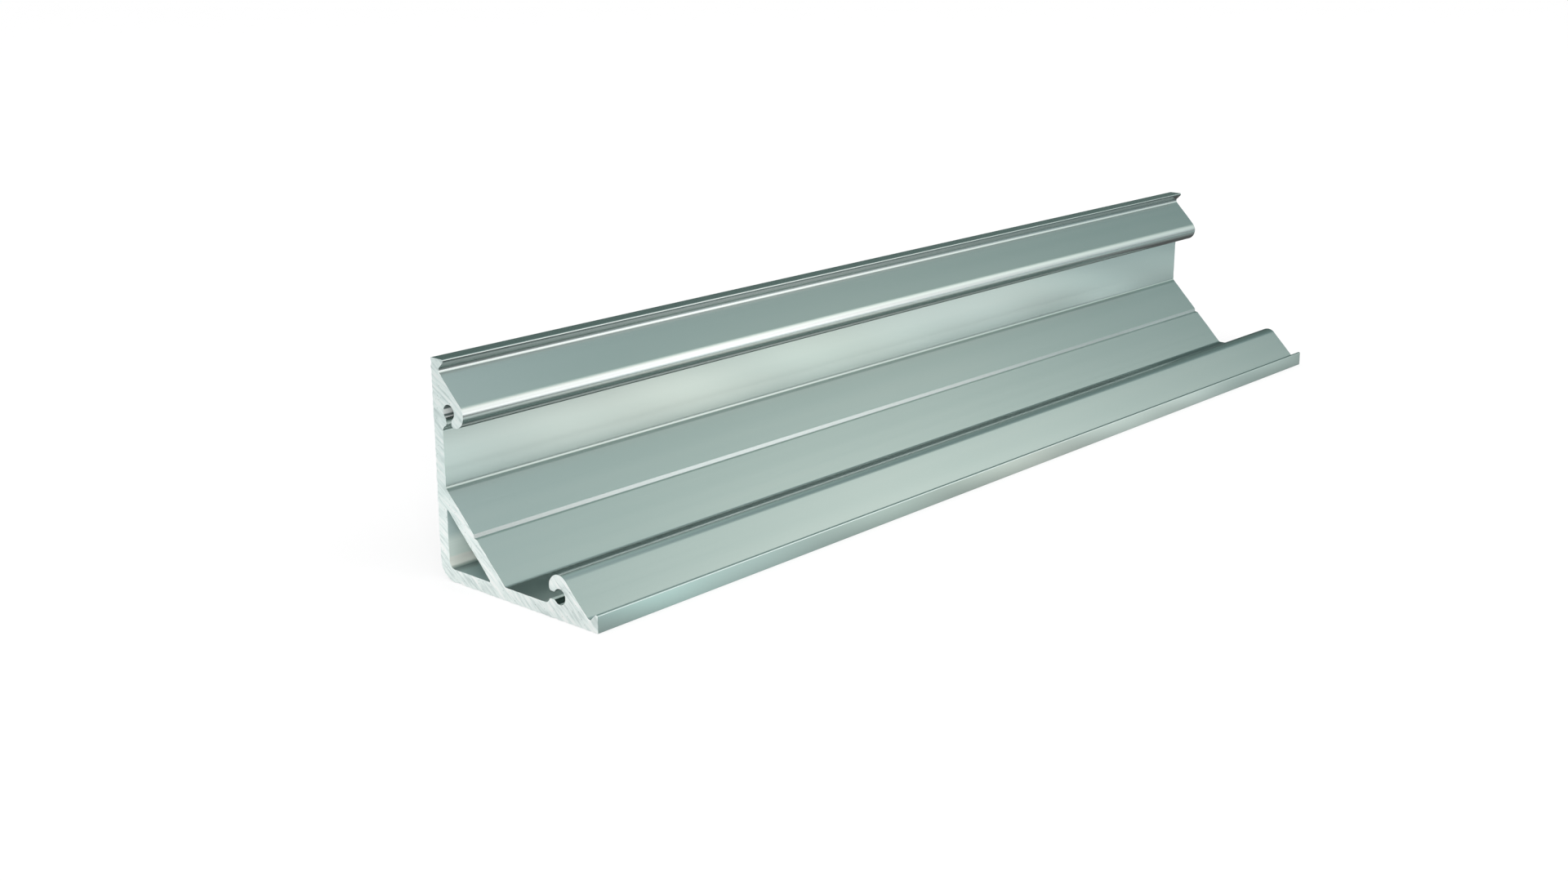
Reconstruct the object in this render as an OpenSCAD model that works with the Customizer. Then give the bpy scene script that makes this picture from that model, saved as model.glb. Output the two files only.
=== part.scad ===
// Corner profile for a light strip, one straight aluminium bar of constant section.
// Two equal legs meet at a right angle and a sloping web closes the hollow in the heel.
// The web is the flat seat of the strip. Each leg carries a hooked round groove for the
// snap-in cover and a small lip at its tip.
// The section is drawn as across (distance from the heel along the lower leg) and up
// (height above its outer face). The upper leg is the lower one mirrored about the 45
// degree line. The bar runs along X, its underside is at z = 0 and the outer face of the
// upright leg is at y = leg_w / 2.

/* [Bar] */
// Cut length of the bar
bar_len = 122; // [30:1:3000]

/* [Legs] */
// Width of each leg, from the outer heel corner to its tip
leg_w = 20; // [18:0.5:30]
// Wall thickness of both legs
wall_t = 1.2; // [1.1:0.05:1.4]
// Rounding of the outer heel corner
heel_r = 1.9; // [0.5:0.1:2.4]
// Fillet in the heel corner of the hollow
hollow_r = 0.7; // [0.2:0.1:1]

/* [Seat web] */
// Flat width of the sloping seat between the two legs
seat_w = 10.4; // [8.4:0.1:11.4]
// Thickness of the sloping web
web_t = 1.3; // [1:0.1:1.6]
// Fillet where the seat meets each leg
seat_r = 0.5; // [0.2:0.1:0.8]
// Fillet in the two sharp corners of the hollow
sharp_r = 0.1; // [0.05:0.05:0.2]
// Width of the marking groove along the middle of the seat
mark_w = 0.6; // [0.4:0.1:1]
// Depth of the marking groove
mark_d = 0.2; // [0.1:0.05:0.3]

/* [Cover hooks] */
// Diameter of the round groove that holds the bead of the cover
race_d = 1.4; // [1.3:0.05:1.5]
// Height of the groove centre above the outer face of the leg
race_up = 2.08; // [2.04:0.02:2.16]
// Radius of the rounded hook head
head_r = 1.2; // [1.15:0.01:1.25]
// Height of the hook head centre above the outer face of the leg
head_up = 2.78; // [2.74:0.02:2.84]
// Distance from the head centre to the groove centre, toward the leg tip
race_fwd = 0.08; // [0:0.02:0.12]
// Opening between the nub and the tip of the hook
mouth_gap = 0.7; // [0.6:0.02:0.76]
// Outer rounding of the hook tip
tip_r = 0.3; // [0.2:0.02:0.32]
// Inner rounding of the hook tip
tip_in_r = 0.12; // [0.06:0.02:0.14]
// Rise of the nub above the inside of the leg
nub_rise = 0.5; // [0.44:0.02:0.56]
// Rounding on top of the nub
nub_r = 0.25; // [0.15:0.05:0.3]
// Rounding of the nub where it turns down into the groove
nub_in_r = 0.25; // [0.15:0.05:0.3]
// Distance from the groove centre back to the centre of the nub rounding
nub_back = 1.06; // [0.9:0.02:1.2]
// Hollow fillet at the foot of the nub
nub_foot_r = 0.6; // [0.4:0.05:0.8]

/* [Tip lips] */
// Height of the lip above the outer face of the leg
lip_h = 1.6; // [1.4:0.05:1.65]
// Width of the lip at its root, from the notch to the leg tip
lip_w = 0.85; // [0.8:0.05:1.3]
// Rounding of the two edges of the lip
lip_r = 0.12; // [0.1:0.02:0.16]
// Flat width of the notch between the hook and the lip
notch_w = 0.3; // [0.15:0.05:0.6]
// Thickness of the leg under the notch
notch_t = 1; // [0.8:0.05:1.05]
// Fillet where the slope of the hook meets the notch
notch_r = 0.35; // [0.1:0.05:0.35]

/* [Hidden] */
$fn = 96;
s45 = sqrt(0.5);
// Depth by which a rounding crosses the face or rounding it runs into
lap = 0.0002;
seat_sum = 2 * wall_t + seat_w / s45 / 2;
back_sum = seat_sum - web_t / s45;
lip_foot = [leg_w - lip_w, notch_t];
lip_in_c = [lip_foot[0] - notch_t + lip_h - lip_r + (lip_r - lap) / s45, lip_h - lip_r];
lip_out_c = [leg_w - lip_r, lip_h - lip_r];
lip_edge = lip_in_c + (lip_r - lap) * [-s45, s45];
hook_foot = [lip_foot[0] - notch_w, notch_t];
head_c = [hook_foot[0] + hook_foot[1] - (head_r - lap) / s45 - head_up, head_up];
head_edge = head_c + (head_r - lap) * [s45, s45];
race_r = race_d / 2;
race_c = [head_c[0] + race_fwd, race_up];
nub_top = wall_t + nub_rise;
nub_c = [race_c[0] - nub_back, nub_top - nub_r];
nub_foot_up = wall_t + nub_foot_r;
nub_reach = nub_r + nub_foot_r - lap;
nub_foot_dx = sqrt(nub_reach * nub_reach - (nub_foot_up - nub_c[1]) * (nub_foot_up - nub_c[1]));
nub_foot_c = [nub_c[0] - nub_foot_dx, nub_foot_up];
nub_in_c = [race_c[0] - sqrt(pow(race_r + nub_in_r - lap, 2) - pow(race_up - nub_top + nub_in_r, 2)), nub_top - nub_in_r];
mouth_top = nub_top + mouth_gap;
tip_in_head = head_r - tip_r + lap;
tip_rise = mouth_top + tip_r;
tip_dx = sqrt(tip_in_head * tip_in_head - (head_up - tip_rise) * (head_up - tip_rise));
tip_c = [head_c[0] - tip_dx, tip_rise];
tip_out = (tip_c - head_c) / tip_in_head;
in_rise = mouth_top + tip_in_r;
in_reach = race_r + tip_in_r - lap;
in_dx = sqrt(in_reach * in_reach - (in_rise - race_up) * (in_rise - race_up));
tip_in_c = [race_c[0] - in_dx, in_rise];

// A circle at point p
module disc(p, r) {
  translate(p) circle(r = r);
}

// Fillet of radius r at corner p between the edges leaving along unit directions a and b,
// where b is reached from a by turning left
module fillet(p, a, b, r) {
  along = a * b;
  bis = (a + b) / norm(a + b);
  c = p + bis * (r - lap) / sqrt((1 - along) / 2);
  to_a = (along * a - b) / norm(along * a - b);
  to_b = (along * b - a) / norm(along * b - a);
  difference() {
    polygon([p - 0.1 * bis, c + (r + 0.1) * to_a, c, c + (r + 0.1) * to_b]);
    disc(c, r);
  }
}

// One leg with its thin tip, its half of the heel and its seat fillets
module leg() {
  square([race_c[0], wall_t]);
  square([leg_w, notch_t]);
  fillet([seat_sum - wall_t, wall_t], [1, 0], [-s45, s45], seat_r);
  fillet([back_sum - wall_t, wall_t], [-s45, s45], [-1, 0], sharp_r);
}

// Lip at the tip of the leg, sloped on the notch side, with both upper edges rounded
module lip() {
  polygon([
    [lip_foot[0], 0],
    [leg_w, 0],
    [leg_w, lip_out_c[1]],
    lip_out_c,
    [lip_out_c[0], lip_h],
    [lip_in_c[0], lip_h],
    lip_edge,
    lip_foot
  ]);
  disc(lip_in_c, lip_r);
  disc(lip_out_c, lip_r);
}

// Curled head of the hook above the mouth, with its tip rounded on both sides
module head() {
  difference() {
    disc(head_c, head_r);
    translate([head_c[0] - 2 * head_r, mouth_top - 2 * head_r])
      square([2 * head_r + race_fwd, 2 * head_r]);
    difference() {
      polygon([
        tip_c,
        tip_c + 3 * tip_r * tip_out,
        [head_c[0] - 2 * head_r, mouth_top - head_r],
        [tip_c[0], mouth_top - head_r]
      ]);
      disc(tip_c, tip_r);
    }
    difference() {
      polygon([tip_in_c, [tip_in_c[0], mouth_top - head_r], [race_c[0], mouth_top - head_r], race_c]);
      disc(tip_in_c, tip_in_r);
    }
  }
}

// Nub on the inside of the leg, across the mouth from the hook tip
module nub() {
  difference() {
    translate([nub_c[0], 0]) square([nub_back, nub_top]);
    difference() {
      polygon([nub_in_c, race_c, [nub_in_c[0], race_up]]);
      disc(nub_in_c, nub_in_r);
    }
  }
  disc(nub_c, nub_r);
  difference() {
    polygon([[nub_foot_c[0], 0], [nub_c[0], 0], nub_c, nub_foot_c]);
    disc(nub_foot_c, nub_foot_r);
  }
}

// Whole hook of one leg with the round groove cut through it
module hook() {
  difference() {
    union() {
      head();
      nub();
      polygon([
        [race_c[0], 0],
        [hook_foot[0], 0],
        hook_foot,
        head_edge,
        head_c
      ]);
      fillet(hook_foot, [1, 0], [-s45, s45], notch_r);
    }
    disc(race_c, race_r);
  }
}

// Sloping web, cut at 45 degrees and let into both legs
module web() {
  polygon([
    [wall_t / 2, back_sum - wall_t / 2],
    [back_sum - wall_t / 2, wall_t / 2],
    [seat_sum - wall_t / 2, wall_t / 2],
    [wall_t / 2, seat_sum - wall_t / 2]
  ]);
}

// V groove along the middle of the seat, wider than the mark above the face
module mark() {
  mid = [seat_sum / 2, seat_sum / 2];
  root = mid - mark_d * [s45, s45];
  side_a = mid + mark_w / 2 * [s45, -s45] - root;
  side_b = mid + mark_w / 2 * [-s45, s45] - root;
  polygon([root, root + 2 * side_a, root + 2 * side_b]);
}

// One leg with everything it carries
module half() {
  leg();
  lip();
  hook();
}

// Complete section with the heel at the origin
module section() {
  difference() {
    union() {
      half();
      mirror([1, -1, 0]) half();
      web();
      fillet([wall_t, wall_t], [1, 0], [0, 1], hollow_r);
    }
    mark();
    difference() {
      translate([-1, -1]) square(1 + heel_r);
      disc([heel_r, heel_r], heel_r);
    }
  }
}

// The bar itself, cut square at both ends
module extrusion() {
  color([0.72, 0.76, 0.74])
    translate([0, leg_w / 2, 0])
      rotate([90, 0, 90])
        linear_extrude(height = bar_len, center = true)
          mirror([1, 0, 0]) section();
}

extrusion();
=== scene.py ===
import bpy
import math
import numpy as np
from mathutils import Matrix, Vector, noise
from mathutils.geometry import delaunay_2d_cdt


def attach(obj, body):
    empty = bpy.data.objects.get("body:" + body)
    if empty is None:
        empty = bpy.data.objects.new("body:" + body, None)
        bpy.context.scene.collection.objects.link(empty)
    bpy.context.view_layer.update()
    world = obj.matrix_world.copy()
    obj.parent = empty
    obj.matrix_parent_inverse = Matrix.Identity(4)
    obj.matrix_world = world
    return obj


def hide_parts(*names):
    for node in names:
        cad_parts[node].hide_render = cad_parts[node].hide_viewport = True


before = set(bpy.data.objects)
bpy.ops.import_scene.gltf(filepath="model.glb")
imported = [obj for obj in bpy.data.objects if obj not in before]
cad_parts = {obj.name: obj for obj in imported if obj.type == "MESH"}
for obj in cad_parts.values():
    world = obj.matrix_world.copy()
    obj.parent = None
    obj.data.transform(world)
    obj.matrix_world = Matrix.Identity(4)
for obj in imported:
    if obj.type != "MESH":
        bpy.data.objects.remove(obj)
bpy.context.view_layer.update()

# ---------------------------------------------------------------- the bar's section
# All lengths are in millimetres. u runs across from the heel along the lower leg, v runs up.
# The upper half is the lower one mirrored about u = v, as in the CAD source. The sizes are
# the CAD's too, except for SEAT_R (0.5 there) and EDGE_R (a sharp corner there).
S45 = math.sqrt(0.5)
TAN = math.tan(math.radians(22.5))
HALF = 61.0                                # half of the bar's length
LEG, WALL = 20.0, 1.2
HEEL_R, HOLLOW_R = 1.9, 0.7
SEAT_W, WEB, SEAT_R, SHARP_R = 10.4, 1.3, 0.32, 0.1
MARK_W, MARK_D = 0.6, 0.2
RACE_R, RACE_UP, RACE_FWD = 0.7, 2.08, 0.08
HEAD_R, HEAD_UP, GAP = 1.2, 2.78, 0.7
TIP_R, TIP_IN_R = 0.3, 0.12
NUB_RISE, NUB_R, NUB_IN_R, NUB_BACK, NUB_FOOT_R = 0.5, 0.25, 0.25, 1.06, 0.6
LIP_H, LIP_W, LIP_R = 1.6, 0.85, 0.12
NOTCH_W, NOTCH_T, NOTCH_R = 0.3, 1.0, 0.35
EDGE_R = 0.07                              # outer corner of each leg's tip
SEAT_SUM = 2 * WALL + SEAT_W / S45 / 2     # u + v on the seat
BACK_SUM = SEAT_SUM - WEB / S45            # u + v on the back of the web

DRAWN, SAWN, DULL_AND_PAINTED = 0, 1, 2                # material numbers

PITCH = 0.16                               # about the length of a straight line's pieces


def deg(x, y):
    return math.degrees(math.atan2(y, x))


def half_segments():
    """Lower half of the outer loop, from the heel to the root of the marking groove.

    A segment is ("line", start, end) or ("arc", centre, radius, first angle, last angle).
    The material lies on the left.
    """
    head = (LEG - LIP_W - NOTCH_W + NOTCH_T - HEAD_R / S45 - HEAD_UP, HEAD_UP)
    race = (head[0] + RACE_FWD, RACE_UP)
    nub_top = WALL + NUB_RISE
    mouth = nub_top + GAP
    tip_v, inn_v, foot_v = mouth + TIP_R, mouth + TIP_IN_R, WALL + NUB_FOOT_R
    tip = (head[0] - math.sqrt((HEAD_R - TIP_R) ** 2 - (HEAD_UP - mouth - TIP_R) ** 2), tip_v)
    inn = (race[0] - math.sqrt((RACE_R + TIP_IN_R) ** 2 - (inn_v - RACE_UP) ** 2), inn_v)
    nub = (race[0] - NUB_BACK, nub_top - NUB_R)
    foot = (nub[0] - math.sqrt((NUB_R + NUB_FOOT_R) ** 2 - (foot_v - nub[1]) ** 2), foot_v)
    nub_in = (race[0] - math.sqrt((RACE_R + NUB_IN_R) ** 2 - (RACE_UP - nub_top + NUB_IN_R) ** 2),
              nub_top - NUB_IN_R)
    lip_foot = (LEG - LIP_W, NOTCH_T)
    hook_foot = (lip_foot[0] - NOTCH_W, NOTCH_T)
    lip_in = (lip_foot[0] - NOTCH_T + LIP_H - LIP_R + LIP_R / S45, LIP_H - LIP_R)
    seat_c = (SEAT_SUM - WALL + SEAT_R * TAN, WALL + SEAT_R)
    mid = SEAT_SUM / 2
    root = (mid - MARK_D * S45, mid - MARK_D * S45)
    rim = (mid + MARK_W / 2 * S45, mid - MARK_W / 2 * S45)
    a_tip = deg(tip[0] - head[0], tip[1] - head[1]) % 360
    a_in = deg(race[0] - inn[0], race[1] - inn[1]) % 360
    a_low = deg(nub_in[0] - race[0], nub_in[1] - race[1])
    a_nub = deg(foot[0] - nub[0], foot[1] - nub[1])
    return [
        # heel, underside and lip
        ("arc", (HEEL_R, HEEL_R), HEEL_R, 225, 270),
        ("line", (HEEL_R, 0), (LEG - EDGE_R, 0)),
        ("arc", (LEG - EDGE_R, EDGE_R), EDGE_R, 270, 360),
        ("line", (LEG, EDGE_R), (LEG, LIP_H - LIP_R)),
        ("arc", (LEG - LIP_R, LIP_H - LIP_R), LIP_R, 0, 90),
        ("line", (LEG - LIP_R, LIP_H), (lip_in[0], LIP_H)),
        ("arc", lip_in, LIP_R, 90, 135),
        ("line", (lip_in[0] - LIP_R * S45, lip_in[1] + LIP_R * S45), lip_foot),
        # notch and the hook's sloped face
        ("line", lip_foot, (hook_foot[0] + NOTCH_R * TAN, NOTCH_T)),
        ("arc", (hook_foot[0] + NOTCH_R * TAN, NOTCH_T + NOTCH_R), NOTCH_R, -90, -135),
        ("line", (hook_foot[0] - NOTCH_R * TAN * S45, NOTCH_T + NOTCH_R * TAN * S45),
         (head[0] + HEAD_R * S45, head[1] + HEAD_R * S45)),
        # head, tip, round groove and nub
        ("arc", head, HEAD_R, 45, a_tip),
        ("arc", tip, TIP_R, a_tip, 270),
        ("line", (tip[0], mouth), (inn[0], mouth)),
        ("arc", inn, TIP_IN_R, 270, a_in),
        ("arc", race, RACE_R, a_in - 180, a_low),
        ("arc", nub_in, NUB_IN_R, a_low + 180, 90),
        ("line", (nub_in[0], nub_top), (nub[0], nub_top)),
        ("arc", nub, NUB_R, 90, a_nub),
        ("arc", foot, NUB_FOOT_R, a_nub - 180, -90),
        # channel floor and seat
        ("line", (foot[0], WALL), (seat_c[0], WALL)),
        ("arc", seat_c, SEAT_R, -90, -135),
        ("line", (seat_c[0] - SEAT_R * S45, seat_c[1] - SEAT_R * S45), rim),
        ("line", rim, root)]


def mirrored(segs):
    """The same segments reflected about u = v, run the other way to keep the material left."""
    out = []
    for s in reversed(segs):
        if s[0] == "line":
            out.append(("line", s[2][::-1], s[1][::-1]))
        else:
            out.append(("arc", s[1][::-1], s[2], 90 - s[4], 90 - s[3]))
    return out


def arc_step(radius):
    """Angle in degrees of one straight piece of an arc, finer on the larger ones."""
    return 3.0 if radius > 0.5 else 5.0 if radius > 0.2 else 9.0


def outline(segs):
    """Short edges of a closed loop: (p, q, normal at p, normal at q, material).

    The normals point out of the metal.
    """
    edges = []
    for s in segs:
        if s[0] == "line":
            (ax, ay), (bx, by) = s[1], s[2]
            d = math.hypot(bx - ax, by - ay)
            n = ((by - ay) / d, -(bx - ax) / d)
            count = max(1, round(d / PITCH))
            for i in range(count):
                p = (ax + (bx - ax) * i / count, ay + (by - ay) * i / count)
                q = (ax + (bx - ax) * (i + 1) / count, ay + (by - ay) * (i + 1) / count)
                edges.append((p, q, n, n, DRAWN))
        else:
            _, (cx, cy), r, a0, a1 = s
            out = 1 if a1 > a0 else -1
            # the upper groove takes the hollow's skin, with its painted reflections
            skin = DULL_AND_PAINTED if r == RACE_R and cy > LEG / 2 else DRAWN    # only the upper groove
            count = max(2, math.ceil(abs(a1 - a0) / arc_step(r)))
            for i in range(count):
                t0, t1 = (math.radians(a0 + (a1 - a0) * j / count) for j in (i, i + 1))
                c0, s0, c1, s1 = math.cos(t0), math.sin(t0), math.cos(t1), math.sin(t1)
                edges.append(((cx + r * c0, cy + r * s0), (cx + r * c1, cy + r * s1),
                              (out * c0, out * s0), (out * c1, out * s1), skin))
    return edges


def hollow_segments():
    """The closed triangular hollow behind the web."""
    near = WALL + HOLLOW_R
    sharp = BACK_SUM - WALL - SHARP_R / TAN
    slope = WALL + SHARP_R + SHARP_R * S45
    return [("arc", (near, near), HOLLOW_R, 270, 180),
            ("line", (WALL, near), (WALL, sharp)),
            ("arc", (WALL + SHARP_R, sharp), SHARP_R, 180, 45),
            ("line", (slope, sharp + SHARP_R * S45), (sharp + SHARP_R * S45, slope)),
            ("arc", (sharp, WALL + SHARP_R), SHARP_R, 45, -90),
            ("line", (sharp, WALL), (near, WALL))]


lower = half_segments()
outer = outline(lower + mirrored(lower))
hollow = outline(hollow_segments())

# ---------------------------------------------------------------- the saw's marks on a cut end
MARKS_THROUGH = 9            # u and v of a point that the middle arc of the marks runs through
MEAN_DEPTH = 0.016           # of the sawn face below the end plane
# height of each kind of mark, its width, its length and its place in the noise
SAW_MARKS = ((0.009, 0.85, 16, 0), (0.0065, 0.33, 7, 4.3), (0.0035, 0.14, 3, 8.7))
PIT_DEPTH, PIT_SIZE, PIT_SHIFT = 0.002, 0.5, 12.1
SLOPE_STEP = 0.02            # distance over which the relief's slope is measured
# the rim breaks by a mean share, and more or less along the marks and in small spots
BREAK_MEAN, BREAK_MARK, BREAK_SPOT = 0.34, 0.75, 0.4
BREAK_WIDTH, BREAK_LENGTH, SPOT_SIZE = 0.42, 5, 0.23
BREAK_SHIFT, SPOT_SHIFT = 30, 3
OUTER_FACE, HEEL_SUM, TIP_FROM = 0.3, 2.0, 19.7     # limits of the edges that break out
CRISP = 0.3                  # share of the breaking on all other edges

RIM_BACK, RIM_BREAK = 0.02, 0.16          # least and further set-back of the rim along the bar
STRIP_WIDTH, STRIP_BREAK = 0.016, 0.11    # least and further width of the broken edge
RIM_LEAN, INNER_LEAN = 0.9, 2.6           # how far the broken edge's normals lean to the end
RINGS = [0.28, 0.9, 3.0, 12.0, 30.0, 61.0]          # where the walls are divided, from an end
ROW, STEP = 0.075, 0.26      # spacing of the sawn face's points across and along the marks
CLEAR = 0.16                 # distance that they keep from the rims


class Cut:
    """Relief of one sawn end: shallow arcs of a large blade."""

    def __init__(self, angle, radius, seed):
        a = math.radians(angle)
        self.radial = (math.cos(a), math.sin(a))
        self.along = (-math.sin(a), math.cos(a))
        self.centre = (MARKS_THROUGH - radius * self.radial[0],
                       MARKS_THROUGH - radius * self.radial[1])
        self.radius, self.seed = radius, seed
        self.rims = []

    def st(self, u, v):
        """Place on the marks: distance across them and along them."""
        du, dv = u - self.centre[0], v - self.centre[1]
        return math.hypot(du, dv) - self.radius, u * self.along[0] + v * self.along[1]

    def depth(self, u, v):
        """Depth below the end plane."""
        s, t = self.st(u, v)
        total = MEAN_DEPTH
        for height, width, length, shift in SAW_MARKS:
            total += height * noise.noise(Vector((s / width, t / length, self.seed + shift)))
        pit = noise.noise(Vector((u / PIT_SIZE, v / PIT_SIZE, self.seed + PIT_SHIFT)))
        return max(0.0, total + PIT_DEPTH * pit)

    def slope(self, u, v):
        e = SLOPE_STEP
        return ((self.depth(u + e, v) - self.depth(u - e, v)) / (2 * e),
                (self.depth(u, v + e) - self.depth(u, v - e)) / (2 * e))

    def ragged(self, u, v):
        """How far the rim is broken back at this place of the outline: 0 to 1."""
        s, t = self.st(u, v)
        k = self.seed + BREAK_SHIFT
        mark = noise.noise(Vector((s / BREAK_WIDTH, t / BREAK_LENGTH, k)))
        spot = noise.noise(Vector((u / SPOT_SIZE, v / SPOT_SIZE, k + SPOT_SHIFT)))
        rough = min(1.0, max(0.0, BREAK_MEAN + BREAK_MARK * mark + BREAK_SPOT * spot))
        # the blade breaks out along the outer faces and the heel, and leaves the rest crisp
        outside = (min(u, v) < OUTER_FACE or u + v < HEEL_SUM) and max(u, v) < TIP_FROM
        return rough * (1.0 if outside else CRISP)


class Builder:
    """Collects vertices, faces, their corner normals and material numbers."""

    def __init__(self):
        self.verts, self.faces, self.normals, self.mats = [], [], [], []

    def vert(self, x, u, v):
        self.verts.append((x * 0.001, (LEG / 2 - u) * 0.001, v * 0.001))
        return len(self.verts) - 1

    def face(self, ids, normals, mat):
        self.faces.append(ids)
        self.normals.extend(normals)
        self.mats.append(mat)


def flat_normal(n, x=0.0):
    """Normal in space from one in the section, leaning by x along the bar."""
    return Vector((x, -n[0], n[1])).normalized()


def inside(points, loop):
    """Which of the points lie inside the loop."""
    hit = np.zeros(len(points), bool)
    x, y = points[:, 0], points[:, 1]
    for (ax, ay), (bx, by) in (edge[:2] for edge in loop):
        if ay != by:
            hit ^= ((ay > y) != (by > y)) & (x < (bx - ax) * (y - ay) / (by - ay) + ax)
    return hit


def clear_of(points, loop, gap):
    """Which of the points keep the gap from the loop, tried against 64 of its corners at a time."""
    keep = np.ones(len(points), bool)
    p = np.array([edge[0] for edge in loop])
    for start in range(0, len(p), 64):
        some = p[None, start:start + 64]
        d = np.hypot(points[:, None, 0] - some[..., 0], points[:, None, 1] - some[..., 1])
        keep &= d.min(axis=1) > gap
    return keep


def wall(build, loop):
    """The drawn faces of one loop from end to end. Returns the rims of the near and far end."""
    rings = []
    for side, stops in ((-1, RINGS), (1, RINGS[-2::-1])):
        rim = []
        for (u, v), *_ in loop:
            back = RIM_BACK + RIM_BREAK * cuts[side].ragged(u, v)
            rim.append(build.vert(side * (HALF - back), u, v))
        stations = [[build.vert(side * (HALF - x), *edge[0]) for edge in loop] for x in stops]
        rings += [rim] + stations if side < 0 else stations + [rim]
    for a, b in zip(rings, rings[1:]):
        for i, edge in enumerate(loop):
            j = (i + 1) % len(loop)
            n0, n1 = flat_normal(edge[2]), flat_normal(edge[3])
            skin = DULL_AND_PAINTED if loop is hollow else edge[4]
            build.face((a[i], b[i], b[j], a[j]), (n0, n0, n1, n1), skin)
    return rings[0], rings[-1]


def broken_edge(build, loop, side, rim):
    """Narrow sloped strip inside a rim. Returns its inner ring as (u, v, vertex number)."""
    cut, inner = cuts[side], []
    for i, ((u, v), *_) in enumerate(loop):
        before, after = Vector(loop[i - 1][3]), Vector(loop[i][2])
        mean = (before + after).normalized()
        inset = (STRIP_WIDTH + STRIP_BREAK * cut.ragged(u, v)) / max(0.5, mean.dot(after))
        u, v = u - mean.x * inset, v - mean.y * inset
        inner.append((u, v, build.vert(side * (HALF - cut.depth(u, v)), u, v)))
    for i, edge in enumerate(loop):
        j = (i + 1) % len(loop)
        ids = (rim[i], rim[j], inner[j][2], inner[i][2])
        normals = tuple(flat_normal(edge[end], side * lean) for end, lean in (
            (2, RIM_LEAN), (3, RIM_LEAN), (3, INNER_LEAN), (2, INNER_LEAN)))
        if side > 0:
            ids, normals = ids[::-1], normals[::-1]
        build.face(ids, normals, SAWN)
    return inner


def lattice(cut):
    """Points of the metal in staggered rows along the saw's marks, clear of both loops."""
    radial, along = np.array(cut.radial), np.array(cut.along)
    s, t = np.arange(-20, 45, ROW), np.arange(-30, 30, STEP)    # these cover the whole section
    stagger = (np.arange(len(s)) % 2)[:, None, None] * STEP / 2
    grid = (s[:, None, None] * radial + (t[None, :, None] + stagger) * along).reshape(-1, 2)
    grid = grid[(grid.min(axis=1) > 0) & (grid.max(axis=1) < LEG)]
    grid = grid[inside(grid, outer) & ~inside(grid, hollow)]
    return grid[clear_of(grid, outer, CLEAR) & clear_of(grid, hollow, CLEAR)]


def sawn_face(build, side):
    """The sawn face itself: the lattice, joined by triangles to the inner rings."""
    cut = cuts[side]
    flat, ids, edges = [], [], []
    for rim in cut.rims:
        first = len(flat)
        for i, (u, v, vertex) in enumerate(rim):
            flat.append(Vector((u, v)))
            ids.append(vertex)
            edges.append((first + i, first + (i + 1) % len(rim)))
    for u, v in lattice(cut):
        flat.append(Vector((u, v)))
        ids.append(build.vert(side * (HALF - cut.depth(u, v)), u, v))
    got, _, tris, origin, _, _ = delaunay_2d_cdt(flat, edges, [], 0, 1e-7)
    mids = np.array([[sum(got[i][c] for i in tri) / 3 for c in (0, 1)] for tri in tris])
    rims = [[(a[:2], b[:2]) for a, b in zip(rim, rim[1:] + rim[:1])] for rim in cut.rims]
    in_metal = inside(mids, rims[0]) & ~inside(mids, rims[1])
    corners = {}
    for tri, keep in zip(tris, in_metal):
        if not keep:
            continue
        for i in tri:
            if i not in corners:
                su, sv = cut.slope(got[i].x, got[i].y)
                corners[i] = (ids[origin[i][0]], Vector((side, -su, sv)).normalized())
        vertices, normals = zip(*[corners[i] for i in tri])
        a, b, c = (Vector(build.verts[i]) for i in vertices)
        if (b - a).cross(c - a).x * side < 0:
            vertices, normals = vertices[::-1], normals[::-1]
        build.face(vertices, normals, SAWN)


def add_object(name, data):
    ob = bpy.data.objects.new(name, data)
    bpy.context.scene.collection.objects.link(ob)
    return ob


# direction and radius of the saw's arcs, and the place in the noise, at the near and far end
cuts = {-1: Cut(55, 170, 1.7), 1: Cut(61, 210, 23.4)}
build = Builder()
for loop in (outer, hollow):
    for side, rim in zip((-1, 1), wall(build, loop)):
        cuts[side].rims.append(broken_edge(build, loop, side, rim))
for side in cuts:
    sawn_face(build, side)

mesh = bpy.data.meshes.new("led_corner_bar")
mesh.from_pydata(build.verts, [], build.faces)
mesh.polygons.foreach_set("material_index", build.mats)
mesh.polygons.foreach_set("use_smooth", [True] * len(build.faces))
mesh.update()
mesh.normals_split_custom_set([tuple(n) for n in build.normals])
bar = add_object("led_corner_bar", mesh)


# ---------------------------------------------------------------- materials
def grey(level):
    return (level, level, level)


WHITE = grey(1)


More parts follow.
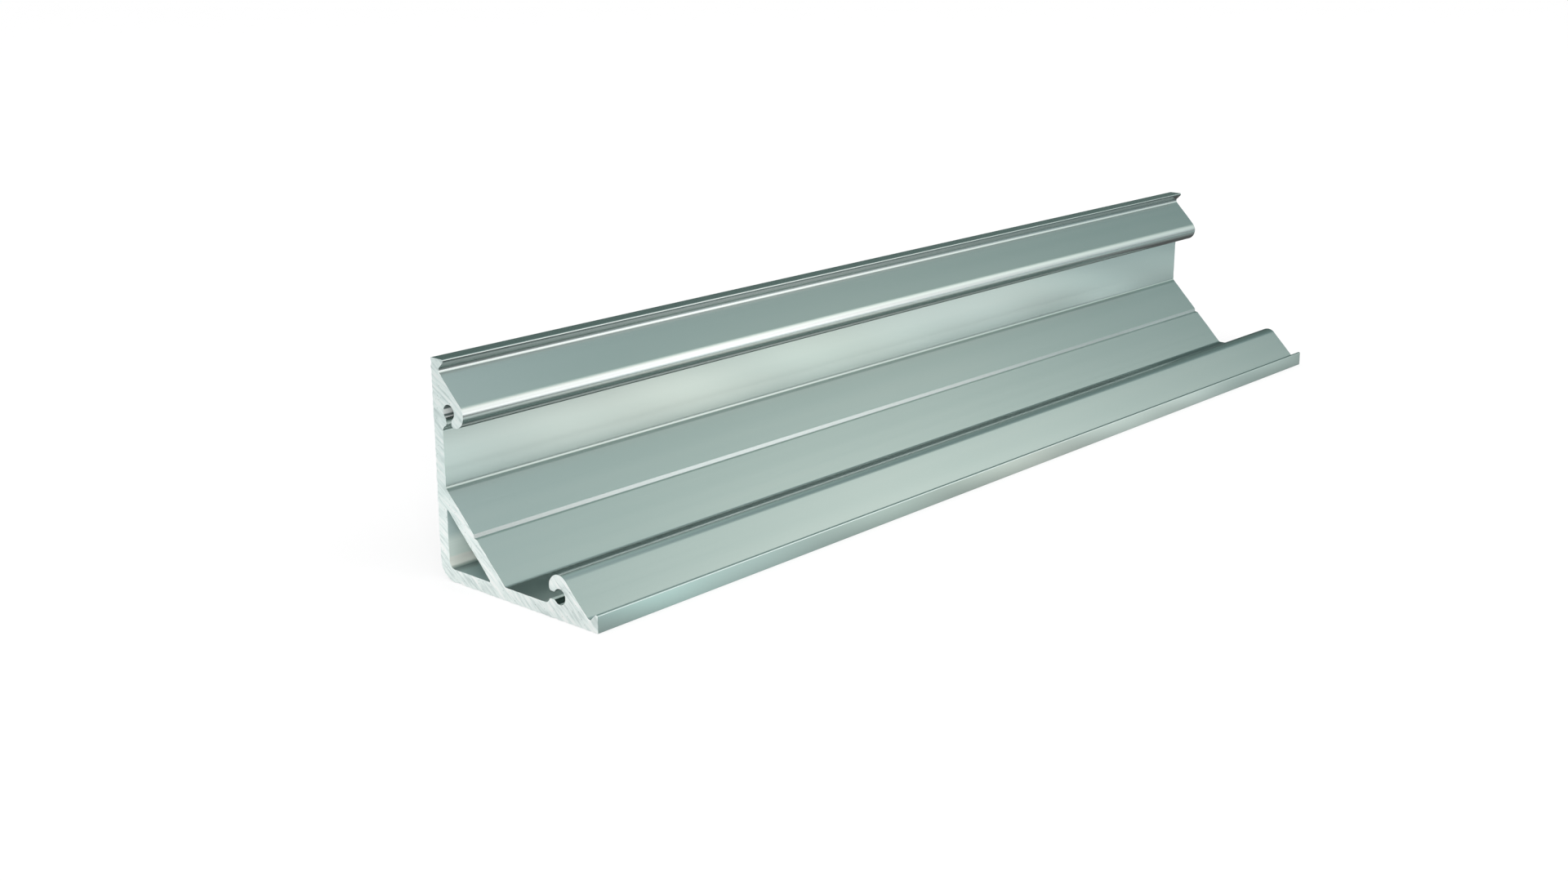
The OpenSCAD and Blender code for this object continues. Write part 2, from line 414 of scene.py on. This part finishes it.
class Nodes:
    """Short calls for building a node tree. A value is a constant or the output of a node."""

    def __init__(self, tree):
        self.tree = tree
        tree.nodes.clear()

    def put(self, socket, value):
        """Links an output to the socket, or sets the socket to a constant."""
        if isinstance(value, bpy.types.NodeSocket):
            self.tree.links.new(value, socket)
        elif socket.type == "RGBA":
            socket.default_value = (*value, 1)
        else:
            socket.default_value = value

    def add(self, kind, values=None, **props):
        node = self.tree.nodes.new(kind)
        for key, val in props.items():
            setattr(node, key, val)
        for key, val in (values or {}).items():
            self.put(node.inputs[key], val)
        return node

    def math(self, op, a, b=0.5):
        return self.add("ShaderNodeMath", {0: a, 1: b}, operation=op).outputs[0]

    def product(self, first, *others):
        for value in others:
            first = self.math("MULTIPLY", first, value)
        return first

    def weighted(self, *terms):
        """Sum of (value, weight) terms."""
        total, *others = [self.math("MULTIPLY", value, weight) for value, weight in terms]
        for value in others:
            total = self.math("ADD", total, value)
        return total

    def vector(self, op, a, b, output="Vector"):
        return self.add("ShaderNodeVectorMath", {0: a, 1: b}, operation=op).outputs[output]

    def object_place(self):
        return self.add("ShaderNodeTexCoord").outputs["Object"]

    def millimetres(self):
        return self.vector("MULTIPLY", self.object_place(), (1000, 1000, 1000))

    def section_place(self, mm):
        """Place on the bar: along it, across from the heel, and up."""
        x, y, z = self.add("ShaderNodeSeparateXYZ", {0: mm}).outputs
        return x, self.math("SUBTRACT", LEG / 2, y), z

    def noise(self, vector, scale=1.0, detail=2.0, rough=0.5):
        return self.add("ShaderNodeTexNoise", {"Vector": vector, "Scale": scale, "Detail": detail,
                                               "Roughness": rough}).outputs[0]

    def range(self, value, a, b, c, d):
        """Goes from c to d while the value goes from a to b."""
        return self.add("ShaderNodeMapRange", {"Value": value, "From Min": a, "From Max": b,
                                               "To Min": c, "To Max": d}).outputs[0]

    def rise(self, value, a, b):
        return self.range(value, a, b, 0, 1)

    def fall(self, value, a, b):
        return self.range(value, a, b, 1, 0)

    def band(self, value, a, b, c, d):
        """1 from b to c, and 0 below a and above d."""
        return self.product(self.rise(value, a, b), self.fall(value, c, d))

    def ramp(self, value, stops):
        node = self.add("ShaderNodeValToRGB", {"Fac": value})
        elements = node.color_ramp.elements
        while len(elements) < len(stops):
            elements.new(0.5)
        for element, (position, colour) in zip(elements, stops):
            element.position, element.color = position, (*colour, 1)
        return node.outputs[0]

    def mix(self, fac, a, b, blend="MIX"):
        return self.add("ShaderNodeMix", {0: fac, 6: a, 7: b}, data_type="RGBA",
                        blend_type=blend).outputs[2]

    def emission(self, colour):
        return self.add("ShaderNodeEmission", {"Color": colour, "Strength": 1.0}).outputs[0]

    def any_ray(self, first, *others):
        """1 for rays of the named kinds, else 0."""
        path = self.add("ShaderNodeLightPath").outputs
        flag = path[first]
        for name in others:
            flag = self.math("MAXIMUM", flag, path[name])
        return flag

    def metal(self, colour, metallic, rough, height, strength):
        """Surface of the bar, with the height as a bump."""
        bump = self.add("ShaderNodeBump", {
            "Strength": strength, "Distance": 0.001, "Height": height})
        bsdf = self.add("ShaderNodeBsdfPrincipled", {
            "Base Color": colour, "Metallic": metallic, "Roughness": rough,
            "Normal": bump.outputs[0]})
        self.surface(bsdf.outputs[0])

    def surface(self, shader):
        self.add("ShaderNodeOutputMaterial", {"Surface": shader})


def new_material(name):
    mat = bpy.data.materials.new(name)
    mat.use_nodes = True
    return mat, Nodes(mat.node_tree)


# Painted shade, painted light and painted reflections in the colour, which stand for reflections
# that this studio does not give, set by place on the bar
CHANNEL_PAINTED_SHADE = (0.28, 0.345, 0.335)
NOTCH_PAINTED_SHADE = (0.26, 0.32, 0.305)
LIP_SLOPE_PAINTED_SHADE = (0.18, 0.225, 0.215)
CREST_PAINTED_SHADE = (0.20, 0.25, 0.24)
WALL_FOOT_PAINTED_LIGHT = (0.84, 0.95, 0.92)
# and painted shade and painted light as factors on the colour, where lists run over a stretch given
# in the function below
SEAT_LINES_PAINTED_SHADE = (0.70, 0.75, 0.73)
NOSE_PAINTED_REFLECTION = [(0.20, grey(0.45)), (0.33, grey(0.55)), (0.44, WHITE), (0.60, WHITE),
        (0.67, grey(0.62)), (0.77, grey(0.62)), (0.90, WHITE)]
LIP_FRONT_PAINTED_SHADE = [(0.0, (0.86, 0.93, 0.93)), (0.34, (0.85, 0.92, 0.91)), (0.52, WHITE), (0.80, WHITE),
             (0.97, (0.86, 0.89, 0.87))]


def with_painted_light(k, colour, mm):
    """The satin skin's colour with painted shade, painted light and painted reflections, each
    within limits in millimetres.

    All but the last leave the outer faces out.
    """
    x, across, up = k.section_place(mm)
    far, low = k.math("MAXIMUM", across, up), k.math("MINIMUM", across, up)
    # painted shade on the channel floor and the back of the lower hook
    floor = k.product(k.band(across, 8.4, 8.8, 13.2, 14.0), k.band(up, 1.0, 1.1, 1.22, 1.5))
    back = k.product(k.band(across, 12.0, 13.0, 15.25, 15.6), k.rise(up, 2.2, 2.6), 0.8)
    colour = k.mix(k.math("MAXIMUM", floor, back), colour, CHANNEL_PAINTED_SHADE)
    # painted shade in the notch beside each lip, on the lip's sloped side, and on the crest of the
    # upper one
    notch = k.product(k.band(far, 18.95, 19.15, 19.68, 19.78), k.band(low, 0.9, 1.0, 1.5, 1.58))
    colour = k.mix(notch, colour, NOTCH_PAINTED_SHADE)
    colour = k.mix(k.product(notch, k.rise(far, 19.3, 19.45)), colour, LIP_SLOPE_PAINTED_SHADE)
    crest = k.product(k.band(across, 1.48, 1.54, 1.61, 1.64), k.band(up, 19.5, 19.6, 19.88, 19.92))
    colour = k.mix(crest, colour, CREST_PAINTED_SHADE)
    # painted dark reflections on the underside of the upper hook's nose
    nose = k.product(k.band(across, 2.8, 3.0, 4.4, 4.6), k.rise(up, 13.9, 14.0))
    colour = k.mix(nose, colour, k.ramp(k.rise(up, 14.4, 15.5), NOSE_PAINTED_REFLECTION), "MULTIPLY")
    # painted shade that dims the highlights in the marking groove and on the fillet between the
    # seat and the upright
    off_middle = k.math("ABSOLUTE", k.math("SUBTRACT", across, up))
    below_seat = k.fall(k.math("ADD", across, up), SEAT_SUM - 0.03, SEAT_SUM - 0.01)
    groove = k.product(k.fall(off_middle, 0.42, 0.46), below_seat, k.rise(across, 6.0, 6.5))
    fillet = k.product(k.band(across, 1.0, 1.1, 1.5, 1.6), k.band(up, 8.2, 8.3, 8.66, 8.70))
    colour = k.mix(k.math("MAXIMUM", groove, fillet), colour, SEAT_LINES_PAINTED_SHADE, "MULTIPLY")
    # painted light on the foot of the upright's inner face, fading upward and toward the far end
    foot = k.product(k.band(across, 1.0, 1.1, 1.25, 1.35), k.band(up, 8.65, 8.85, 8.9, 10.2),
                     k.fall(x, 36.0, 52.0))
    colour = k.mix(foot, colour, WALL_FOOT_PAINTED_LIGHT)
    # painted shade on the front of the lower lip, darker toward both ends
    front = k.ramp(k.rise(x, -60.0, 60.0), LIP_FRONT_PAINTED_SHADE)
    return k.mix(k.rise(across, 19.9, 19.96), colour, front, "MULTIPLY")


def anodised():
    """Satin skin with the lines drawn by the die: very long in X, fine across the section."""
    mat, k = new_material("satin_anodised")
    mm = k.millimetres()
    fine = k.noise(k.vector("MULTIPLY", mm, (0.012, 5.5, 5.5)), detail=3.0, rough=0.6)
    wide = k.noise(k.vector("MULTIPLY", mm, (0.006, 0.7, 0.7)))
    cloud = k.noise(k.vector("MULTIPLY", mm, (0.035, 0.12, 0.12)))
    grain = k.noise(mm, 9.0, rough=0.6)
    base = k.ramp(k.weighted((wide, 0.55), (cloud, 0.45)), [
        (0.30, (0.560, 0.645, 0.620)), (0.52, (0.585, 0.665, 0.640)),
        (0.75, (0.610, 0.682, 0.655))])
    lines = k.ramp(fine, [(0.30, grey(0.96)), (0.52, WHITE), (0.8, WHITE)])
    # the colour takes painted shade, painted light and painted reflections by place on the bar
    colour = with_painted_light(k, k.mix(0.25, base, lines, "MULTIPLY"), mm)
    rough = k.math("ADD", k.range(fine, 0.3, 0.7, 0.218, 0.232),
                   k.range(grain, 0.3, 0.7, -0.006, 0.006))
    height = k.weighted((fine, 0.0009), (grain, 0.0005), (wide, 0.0012))
    k.metal(colour, 1.0, rough, height, 0.05)
    return mat


def sawn():
    """Bare cut end, streaked along the saw's arcs of the near end."""
    mat, k = new_material("sawn_aluminium")
    mm = k.millimetres()
    cut = cuts[-1]
    plane = k.vector("MULTIPLY", mm, (0, 1, 1))
    centre = (0, LEG / 2 - cut.centre[0], cut.centre[1])
    s = k.vector("DISTANCE", plane, centre, "Value")
    t = k.vector("DOT_PRODUCT", plane, (0, -cut.along[0], cut.along[1]), "Value")
    st = k.add("ShaderNodeCombineXYZ", {0: s, 1: k.math("MULTIPLY", t, 0.11), 2: 0.0}).outputs[0]
    broad = k.noise(st, 1.5, detail=1.0)
    mid = k.noise(st, 4.2, rough=0.55)
    fine = k.noise(st, 13.0, rough=0.6)
    grain = k.noise(mm, 10.0, rough=0.6)
    streak = k.ramp(k.weighted((broad, 0.26), (mid, 0.54), (fine, 0.20)), [
        (0.38, (0.61, 0.69, 0.675)), (0.5, (0.82, 0.895, 0.875)), (0.60, (0.94, 0.96, 0.945))])
    cell = k.add("ShaderNodeTexVoronoi", {"Vector": mm, "Scale": 2.6, "Randomness": 1.0})
    speck = k.ramp(cell.outputs["Distance"], [(0.07, (0.30, 0.34, 0.33)), (0.14, WHITE)])
    colour = k.mix(0.7, streak, speck, "MULTIPLY")
    # the upright's end is a little greyer than the lower leg's
    up = k.section_place(mm)[2]
    colour = k.mix(k.rise(up, 3.0, 9.0), colour, (0.83, 0.86, 0.86), "MULTIPLY")
    rough = k.math("ADD", k.range(mid, 0.3, 0.7, 0.40, 0.55),
                   k.range(grain, 0.3, 0.7, -0.03, 0.03))
    height = k.weighted((fine, 0.0045), (grain, 0.003), (mid, 0.006))
    k.metal(colour, 0.5, rough, height, 0.8)
    return mat


# Painted light, painted shade and painted reflections as bands by height: in the hollow from 1 to 9
# mm, in the upper groove from 14.5 to 16.2 mm
HOLLOW_PAINTED_LIGHT_BANDS = [
    (0.025, (0.36, 0.49, 0.48)), (0.030, (0.25, 0.33, 0.31)), (0.040, (0.42, 0.50, 0.46)),
    (0.058, (0.97, 0.99, 0.92)), (0.135, (0.97, 0.99, 0.93)), (0.165, (0.84, 0.95, 0.89)),
    (0.33, (0.84, 0.95, 0.90)), (0.42, (0.58, 0.71, 0.69)), (0.8, (0.42, 0.54, 0.53))]
GROOVE_PAINTED_REFLECTIONS = [
    (0.03, (0.12, 0.17, 0.16)), (0.09, (0.92, 0.97, 0.95)), (0.28, (0.92, 0.97, 0.95)),
    (0.33, (0.16, 0.21, 0.20)), (0.39, (0.16, 0.21, 0.20)), (0.44, (0.95, 0.99, 0.97)),
    (0.63, (0.95, 0.99, 0.97)), (0.70, (0.12, 0.16, 0.155))]


def hollow_finish_and_painted_light():
    """Duller skin of the closed hollow, which the anodising bath barely reaches, with painted
    light, painted shade and painted reflections in bands by height. The upper groove takes it too,
    for its painted reflections.
    """
    mat, k = new_material("hollow_skin_and_painted_light")
    mm = k.millimetres()
    lines = k.noise(k.vector("MULTIPLY", mm, (0.05, 5.0, 5.0)), detail=3.0, rough=0.6)
    cloud = k.noise(k.vector("MULTIPLY", mm, (0.3, 0.8, 0.8)))
    _, across, up = k.section_place(mm)
    colour = k.ramp(k.rise(up, 1.0, 9.0), HOLLOW_PAINTED_LIGHT_BANDS)
    # painted shade: the floor darkens toward the fillet in the heel
    shade = k.product(k.fall(up, 1.23, 1.26), k.range(across, 2.0, 2.7, 0.42, 0))
    colour = k.mix(shade, colour, grey(0))
    groove = k.ramp(k.rise(up, 14.5, 16.2), GROOVE_PAINTED_REFLECTIONS)
    colour = k.mix(k.rise(up, 12.0, 13.0), colour, groove)
    colour = k.mix(0.5, colour, k.ramp(lines, [(0.3, grey(0.9)), (0.7, WHITE)]), "MULTIPLY")
    rough = k.range(cloud, 0.3, 0.7, 0.36, 0.46)
    k.metal(colour, 0.3, rough, k.math("MULTIPLY", lines, 0.002), 0.5)
    return mat


for finish in (anodised, sawn, hollow_finish_and_painted_light):    # in the order of DRAWN, SAWN, DULL_AND_PAINTED
    mesh.materials.append(finish())
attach(bar, "root")
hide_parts("extrusion")


# ---------------------------------------------------------------- floor, card, light, camera
def toward(azimuth, elevation, distance=1.0):
    """Point at an azimuth measured from +X toward +Y, in degrees."""
    a, e = math.radians(azimuth), math.radians(elevation)
    return (distance * math.cos(a) * math.cos(e), distance * math.sin(a) * math.cos(e),
            distance * math.sin(e))


def glows(k, place, spots, base):
    """Sum of soft round spots of light, given as (centre, spread, colour), on the base."""
    total = k.add("ShaderNodeCombineXYZ", dict(enumerate(base))).outputs[0]
    for centre, spread, colour in spots:
        far = k.vector("DISTANCE", place, centre, "Value")
        near = k.math("EXPONENT", k.product(far, far, -0.5 / spread ** 2))
        total = k.add("ShaderNodeVectorMath", {0: near, 1: colour, 2: total},
                      operation="MULTIPLY_ADD").outputs[0]
    return total


# What the metal's gloss sees: a curved card with soft lights on it, around the front and the
# right of the bar, and pools of light on the floor. Only glossy rays meet the card or the pools.
# Card: azimuth, elevation and spread in degrees, then the light's colour.
CARD_BASE = (0.12, 0.17, 0.16)
CARD_SPOTS = [
    (-44, 3, 5, (1.82, 1.63, 1.65)),
    (-44, 13, 5, (1.01, 0.73, 0.78)),
    (-44, 23, 6, (1.13, 1.03, 1.10)),
    (-40, 33, 7, (0.90, 0.65, 0.66)),
    (-28, 8, 7, (0.62, 0.65, 0.67)),
    (-28, 22, 7, (0.86, 0.83, 0.80)),
    (-27, 35, 7, (0.61, 0.63, 0.59)),
    (-34, 46, 7, (0.12, 0.19, 0.17)),
    (-58, 6, 7, (1.67, 1.52, 1.56)),
    (-58, 20, 8, (0.66, 0.56, 0.58)),
    (-58, 36, 9, (0.84, 0.87, 0.84)),
    (-12, 26, 9, (0.08, 0.12, 0.13)),
    (-8, 46, 9, (0.05, 0.06, 0.07)),
    (28, 44, 10, (0.20, 0.24, 0.23)),
    (-21, 59, 5, (0.09, 0.10, 0.10)),
    (20, 66, 13, (0.33, 0.38, 0.39)),
    (-45, 64, 11, (0.44, 0.43, 0.47)),
]
# Floor: x, y and spread in millimetres, then the light's colour.
FLOOR_BASE = (0.0, 0.0, 0.0)
FLOOR_SPOTS = [
    # along the front of the bar
    (-58, -30, 7, (0.84, 0.84, 0.91)),
    (-40, -22, 8, (1.20, 1.31, 1.30)),
    (-20, -22, 8, (1.47, 1.49, 1.43)),
    (0, -22, 8, (1.64, 1.63, 1.53)),
    (22, -22, 9, (1.37, 1.46, 1.41)),
    (32, -31, 8, (0.32, 0.26, 0.18)),
    (48, -22, 10, (0.63, 0.74, 0.73)),
    (54, -31, 8, (0.74, 0.67, 0.65)),
    (78, -32, 9, (1.19, 1.23, 1.18)),
    (-52, -17, 5, (0.60, 0.76, 0.74)),
    (38, -18, 5, (0.64, 0.66, 0.65)),
    (62, -19, 6, (0.64, 0.71, 0.71)),
    (88, -20, 7, (0.76, 0.92, 0.92)),
    (112, -19, 8, (0.73, 0.86, 0.84)),
    # further out in front and to the right
    (-50, -42, 12, (0.11, 0.09, 0.09)),
    (44, -80, 18, (1.57, 1.67, 1.74)),
    (110, -130, 32, (1.76, 1.79, 1.89)),
    (230, -260, 80, (2.24, 2.25, 2.39)),
    (130, -55, 20, (0.34, 0.51, 0.53)),
    # before the near end and behind the bar
    (-98, 25, 35, (0.90, 0.95, 0.93)),
    (-50, 50, 22, (0.55, 0.59, 0.58)),
    (0, 50, 22, (0.62, 0.66, 0.65)),
    (50, 50, 22, (0.55, 0.59, 0.58)),
    (0, 140, 50, (0.70, 0.74, 0.73)),
]
FLOOR_HALF, FLOOR_Z = 3.0, -0.00003        # metres
FLOOR_WHITE = 0.68       # share of plain white that the camera sees; the rest keeps the shadow
FLOOR_POOLED = 0.85      # share of the pools in what the gloss sees
CARD_RADIUS, CARD_STEP = 0.6, 5            # metres and degrees
CARD_AZIMUTHS, CARD_ELEVATIONS = range(-85, 106, CARD_STEP), range(0, 91, CARD_STEP)


def floor_material():
    mat, k = new_material("pale_floor")
    place = k.object_place()
    speckle = k.noise(place, 60.0, detail=3.0, rough=0.6)
    tint = k.ramp(speckle, [(0.3, grey(0.95)), (0.7, grey(0.97))])
    diffuse = k.add("ShaderNodeBsdfDiffuse", {"Color": tint, "Roughness": 0.6}).outputs[0]
    spots = [((x, y, 0), spread, colour) for x, y, spread, colour in FLOOR_SPOTS]
    pools = glows(k, k.vector("MULTIPLY", place, (1000, 1000, 0)), spots, FLOOR_BASE)
    seen = k.math("MULTIPLY", k.any_ray("Is Camera Ray", "Is Transmission Ray"), FLOOR_WHITE)
    shown = k.add("ShaderNodeMixShader", {0: seen, 1: diffuse, 2: k.emission(WHITE)}).outputs[0]
    glossy = k.math("MULTIPLY", k.any_ray("Is Glossy Ray"), FLOOR_POOLED)
    k.surface(k.add("ShaderNodeMixShader", {
        0: glossy, 1: shown, 2: k.emission(pools)}).outputs[0])
    return mat


def card_material():
    mat, k = new_material("studio_card")
    way = k.add("ShaderNodeVectorMath", {0: k.object_place()}, operation="NORMALIZE").outputs[0]
    spots = [(toward(az, el), math.radians(spread), colour)
             for az, el, spread, colour in CARD_SPOTS]
    k.surface(k.emission(glows(k, way, spots, CARD_BASE)))
    return mat


floor_mesh = bpy.data.meshes.new("floor")
floor_mesh.from_pydata([(-FLOOR_HALF, -FLOOR_HALF, 0), (FLOOR_HALF, -FLOOR_HALF, 0),
                        (FLOOR_HALF, FLOOR_HALF, 0), (-FLOOR_HALF, FLOOR_HALF, 0)],
                       [], [(0, 1, 2, 3)])
floor_mesh.materials.append(floor_material())
floor = add_object("floor", floor_mesh)
floor.location = (0, 0, FLOOR_Z)

card_mesh = bpy.data.meshes.new("studio_card")
rows = len(CARD_ELEVATIONS)
card_mesh.from_pydata(
    [toward(az, el, CARD_RADIUS) for az in CARD_AZIMUTHS for el in CARD_ELEVATIONS], [],
    [(i * rows + j, (i + 1) * rows + j, (i + 1) * rows + j + 1, i * rows + j + 1)
     for i in range(len(CARD_AZIMUTHS) - 1) for j in range(rows - 1)])
card_mesh.materials.append(card_material())
studio_card = add_object("studio_card", card_mesh)
studio_card.visible_camera = studio_card.visible_diffuse = False
studio_card.visible_shadow = studio_card.visible_transmission = False


SOFTBOX_SIDE = 0.30      # metres


def softbox(name, location, radiance):
    """Square lamp aimed at the bar, which glossy rays do not meet."""
    data = bpy.data.lights.new(name, "AREA")
    data.shape, data.size, data.size_y = "RECTANGLE", SOFTBOX_SIDE, SOFTBOX_SIDE
    data.energy = radiance * math.pi * SOFTBOX_SIDE * SOFTBOX_SIDE
    ob = add_object(name, data)
    ob.location = location
    aim = Vector((0, 0, 0.01)) - Vector(location)
    ob.rotation_euler = aim.to_track_quat("-Z", "Y").to_euler()
    ob.visible_camera = ob.visible_glossy = False


softbox("key_softbox", toward(-70, 50, 0.8), 1.6)
softbox("fill_softbox", toward(-134, 10, 0.8), 8.0)

world = bpy.data.worlds.new("studio")
bpy.context.scene.world = world
world.use_nodes = True
k = Nodes(world.node_tree)
lit = k.add("ShaderNodeBackground", {"Color": WHITE, "Strength": 0.98}).outputs[0]
white = k.add("ShaderNodeBackground", {"Color": WHITE, "Strength": 1.0}).outputs[0]
seen = k.any_ray("Is Camera Ray", "Is Glossy Ray", "Is Transmission Ray")
backdrop = k.add("ShaderNodeMixShader", {0: seen, 1: lit, 2: white}).outputs[0]
k.add("ShaderNodeOutputWorld", {"Surface": backdrop})

# the camera, fitted to both cut ends of the bar in the photo
cam_data = bpy.data.cameras.new("camera")
cam_data.sensor_width, cam_data.lens = 36.0, 43.88
cam_data.clip_start, cam_data.clip_end = 0.001, 100
cam = add_object("camera", cam_data)
cam.location = (-0.15965, -0.11742, 0.05856)
cam.rotation_euler = (math.radians(73.81), 0, math.radians(-48.53))
bpy.context.scene.camera = cam
bpy.context.scene.view_settings.view_transform = "Standard"
bpy.context.scene.cycles.glossy_bounces = 8
bpy.context.scene.cycles.diffuse_bounces = 6
